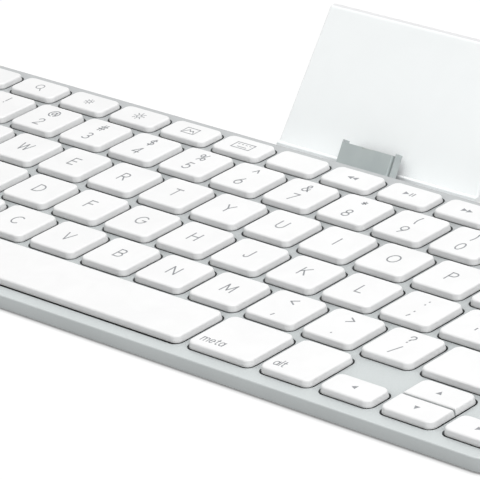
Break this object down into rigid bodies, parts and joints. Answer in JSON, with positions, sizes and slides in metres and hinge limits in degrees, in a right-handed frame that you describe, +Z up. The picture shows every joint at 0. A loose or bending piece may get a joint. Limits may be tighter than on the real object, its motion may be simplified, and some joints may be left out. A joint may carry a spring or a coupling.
{
  "type": "tablet keyboard dock",
  "caption": "Thin aluminium keyboard slab on a wedge with flat white keys and, behind it, a white leaning tablet rest with a grey dock plug standing in its tray.",
  "frame": {"origin": "on the floor, under the middle of the whole object's box", "axes": "+X along the key rows to the right, +Y from the front edge to the tablet rest, +Z up"},
  "size_m": [0.282, 0.1402, 0.0494],
  "materials": {
    "aluminium": "fine blasted and clear anodised",
    "key_white": "satin moulded, white",
    "cover_white": "satin moulded, white",
    "dock_white": "glossy moulded, white",
    "plug_metal": "dull grey plated shell",
    "plug_guide": "satin grey",
    "contact_metal": "gold flash",
    "seat_plastic": "moulded",
    "steel": "plain steel",
    "film": "dark film with printed tracks",
    "dome_rubber": "grey silicone",
    "scissor_plastic": "moulded, grey",
    "board": "solder mask",
    "socket_metal": "plated socket shell",
    "socket_plastic": "moulded",
    "foot_rubber": "soft grey rubber"
  },
  "bodies": {
    "dock": {"top_case": "aluminium", "bottom_cover": "cover_white", "base_lid": "cover_white", "key_plate": "steel", "key_membrane": "film", "rubber_domes": "dome_rubber", "scissor_frames": "scissor_plastic", "stabilizer_bars": "steel", "controller_board": "board", "membrane_tail": "film", "ballast_bars": "steel", "dock_flex": "film", "dock_shell": "dock_white", "rear_cover": "dock_white", "dock_base": "cover_white", "connector_shell": "plug_metal", "connector_guide": "plug_guide", "connector_contacts": "contact_metal", "connector_seat": "seat_plastic", "dock_board": "board", "rear_port": "socket_metal", "audio_jack": "socket_plastic", "rubber_feet": "foot_rubber", "case_screws": "steel", "dock_screws": "steel"},
    "key_a": {"key_a": "key_white"},
    "key_b": {"key_b": "key_white"},
    "key_c": {"key_c": "key_white"},
    "key_d": {"key_d": "key_white"},
    "key_e": {"key_e": "key_white"},
    "key_f": {"key_f": "key_white"},
    "key_g": {"key_g": "key_white"},
    "key_h": {"key_h": "key_white"},
    "key_i": {"key_i": "key_white"},
    "key_j": {"key_j": "key_white"},
    "key_k": {"key_k": "key_white"},
    "key_l": {"key_l": "key_white"},
    "key_m": {"key_m": "key_white"},
    "key_n": {"key_n": "key_white"},
    "key_o": {"key_o": "key_white"},
    "key_p": {"key_p": "key_white"},
    "key_q": {"key_q": "key_white"},
    "key_r": {"key_r": "key_white"},
    "key_s": {"key_s": "key_white"},
    "key_t": {"key_t": "key_white"},
    "key_u": {"key_u": "key_white"},
    "key_v": {"key_v": "key_white"},
    "key_w": {"key_w": "key_white"},
    "key_x": {"key_x": "key_white"},
    "key_y": {"key_y": "key_white"},
    "key_z": {"key_z": "key_white"},
    "space_bar": {"space_bar": "key_white"},
    "arrow_left_key": {"arrow_left_key": "key_white"},
    "arrow_right_key": {"arrow_right_key": "key_white"},
    "arrow_up_key": {"arrow_up_key": "key_white"},
    "arrow_down_key": {"arrow_down_key": "key_white"},
    "digit_keys": {"digit_keys": "key_white"},
    "function_keys": {"function_keys": "key_white"},
    "symbol_keys": {"symbol_keys": "key_white"},
    "control_keys": {"control_keys": "key_white"}
  },
  "joints": [
    {"name": "press_key_a", "type": "slide", "parent": "dock", "child": "key_a", "axis": [0, 0.1231, -0.9924], "range_m": [0, 0.0015], "stiffness_N_per_m": 300, "springref_m": -0.001},
    {"name": "press_key_b", "type": "slide", "parent": "dock", "child": "key_b", "axis": [0, 0.1231, -0.9924], "range_m": [0, 0.0015], "stiffness_N_per_m": 300, "springref_m": -0.001},
    {"name": "press_key_c", "type": "slide", "parent": "dock", "child": "key_c", "axis": [0, 0.1231, -0.9924], "range_m": [0, 0.0015], "stiffness_N_per_m": 300, "springref_m": -0.001},
    {"name": "press_key_d", "type": "slide", "parent": "dock", "child": "key_d", "axis": [0, 0.1231, -0.9924], "range_m": [0, 0.0015], "stiffness_N_per_m": 300, "springref_m": -0.001},
    {"name": "press_key_e", "type": "slide", "parent": "dock", "child": "key_e", "axis": [0, 0.1231, -0.9924], "range_m": [0, 0.0015], "stiffness_N_per_m": 300, "springref_m": -0.001},
    {"name": "press_key_f", "type": "slide", "parent": "dock", "child": "key_f", "axis": [0, 0.1231, -0.9924], "range_m": [0, 0.0015], "stiffness_N_per_m": 300, "springref_m": -0.001},
    {"name": "press_key_g", "type": "slide", "parent": "dock", "child": "key_g", "axis": [0, 0.1231, -0.9924], "range_m": [0, 0.0015], "stiffness_N_per_m": 300, "springref_m": -0.001},
    {"name": "press_key_h", "type": "slide", "parent": "dock", "child": "key_h", "axis": [0, 0.1231, -0.9924], "range_m": [0, 0.0015], "stiffness_N_per_m": 300, "springref_m": -0.001},
    {"name": "press_key_i", "type": "slide", "parent": "dock", "child": "key_i", "axis": [0, 0.1231, -0.9924], "range_m": [0, 0.0015], "stiffness_N_per_m": 300, "springref_m": -0.001},
    {"name": "press_key_j", "type": "slide", "parent": "dock", "child": "key_j", "axis": [0, 0.1231, -0.9924], "range_m": [0, 0.0015], "stiffness_N_per_m": 300, "springref_m": -0.001},
    {"name": "press_key_k", "type": "slide", "parent": "dock", "child": "key_k", "axis": [0, 0.1231, -0.9924], "range_m": [0, 0.0015], "stiffness_N_per_m": 300, "springref_m": -0.001},
    {"name": "press_key_l", "type": "slide", "parent": "dock", "child": "key_l", "axis": [0, 0.1231, -0.9924], "range_m": [0, 0.0015], "stiffness_N_per_m": 300, "springref_m": -0.001},
    {"name": "press_key_m", "type": "slide", "parent": "dock", "child": "key_m", "axis": [0, 0.1231, -0.9924], "range_m": [0, 0.0015], "stiffness_N_per_m": 300, "springref_m": -0.001},
    {"name": "press_key_n", "type": "slide", "parent": "dock", "child": "key_n", "axis": [0, 0.1231, -0.9924], "range_m": [0, 0.0015], "stiffness_N_per_m": 300, "springref_m": -0.001},
    {"name": "press_key_o", "type": "slide", "parent": "dock", "child": "key_o", "axis": [0, 0.1231, -0.9924], "range_m": [0, 0.0015], "stiffness_N_per_m": 300, "springref_m": -0.001},
    {"name": "press_key_p", "type": "slide", "parent": "dock", "child": "key_p", "axis": [0, 0.1231, -0.9924], "range_m": [0, 0.0015], "stiffness_N_per_m": 300, "springref_m": -0.001},
    {"name": "press_key_q", "type": "slide", "parent": "dock", "child": "key_q", "axis": [0, 0.1231, -0.9924], "range_m": [0, 0.0015], "stiffness_N_per_m": 300, "springref_m": -0.001},
    {"name": "press_key_r", "type": "slide", "parent": "dock", "child": "key_r", "axis": [0, 0.1231, -0.9924], "range_m": [0, 0.0015], "stiffness_N_per_m": 300, "springref_m": -0.001},
    {"name": "press_key_s", "type": "slide", "parent": "dock", "child": "key_s", "axis": [0, 0.1231, -0.9924], "range_m": [0, 0.0015], "stiffness_N_per_m": 300, "springref_m": -0.001},
    {"name": "press_key_t", "type": "slide", "parent": "dock", "child": "key_t", "axis": [0, 0.1231, -0.9924], "range_m": [0, 0.0015], "stiffness_N_per_m": 300, "springref_m": -0.001},
    {"name": "press_key_u", "type": "slide", "parent": "dock", "child": "key_u", "axis": [0, 0.1231, -0.9924], "range_m": [0, 0.0015], "stiffness_N_per_m": 300, "springref_m": -0.001},
    {"name": "press_key_v", "type": "slide", "parent": "dock", "child": "key_v", "axis": [0, 0.1231, -0.9924], "range_m": [0, 0.0015], "stiffness_N_per_m": 300, "springref_m": -0.001},
    {"name": "press_key_w", "type": "slide", "parent": "dock", "child": "key_w", "axis": [0, 0.1231, -0.9924], "range_m": [0, 0.0015], "stiffness_N_per_m": 300, "springref_m": -0.001},
    {"name": "press_key_x", "type": "slide", "parent": "dock", "child": "key_x", "axis": [0, 0.1231, -0.9924], "range_m": [0, 0.0015], "stiffness_N_per_m": 300, "springref_m": -0.001},
    {"name": "press_key_y", "type": "slide", "parent": "dock", "child": "key_y", "axis": [0, 0.1231, -0.9924], "range_m": [0, 0.0015], "stiffness_N_per_m": 300, "springref_m": -0.001},
    {"name": "press_key_z", "type": "slide", "parent": "dock", "child": "key_z", "axis": [0, 0.1231, -0.9924], "range_m": [0, 0.0015], "stiffness_N_per_m": 300, "springref_m": -0.001},
    {"name": "press_space_bar", "type": "slide", "parent": "dock", "child": "space_bar", "axis": [0, 0.1231, -0.9924], "range_m": [0, 0.0015], "stiffness_N_per_m": 300, "springref_m": -0.001},
    {"name": "press_arrow_left_key", "type": "slide", "parent": "dock", "child": "arrow_left_key", "axis": [0, 0.1231, -0.9924], "range_m": [0, 0.0015], "stiffness_N_per_m": 300, "springref_m": -0.001},
    {"name": "press_arrow_right_key", "type": "slide", "parent": "dock", "child": "arrow_right_key", "axis": [0, 0.1231, -0.9924], "range_m": [0, 0.0015], "stiffness_N_per_m": 300, "springref_m": -0.001},
    {"name": "press_arrow_up_key", "type": "slide", "parent": "dock", "child": "arrow_up_key", "axis": [0, 0.1231, -0.9924], "range_m": [0, 0.0015], "stiffness_N_per_m": 300, "springref_m": -0.001},
    {"name": "press_arrow_down_key", "type": "slide", "parent": "dock", "child": "arrow_down_key", "axis": [0, 0.1231, -0.9924], "range_m": [0, 0.0015], "stiffness_N_per_m": 300, "springref_m": -0.001},
    {"name": "press_digit_keys", "type": "slide", "parent": "dock", "child": "digit_keys", "axis": [0, 0.1231, -0.9924], "range_m": [0, 0.0015], "stiffness_N_per_m": 300, "springref_m": -0.001},
    {"name": "press_function_keys", "type": "slide", "parent": "dock", "child": "function_keys", "axis": [0, 0.1231, -0.9924], "range_m": [0, 0.0015], "stiffness_N_per_m": 300, "springref_m": -0.001},
    {"name": "press_symbol_keys", "type": "slide", "parent": "dock", "child": "symbol_keys", "axis": [0, 0.1231, -0.9924], "range_m": [0, 0.0015], "stiffness_N_per_m": 300, "springref_m": -0.001},
    {"name": "press_control_keys", "type": "slide", "parent": "dock", "child": "control_keys", "axis": [0, 0.1231, -0.9924], "range_m": [0, 0.0015], "stiffness_N_per_m": 300, "springref_m": -0.001}
  ]
}
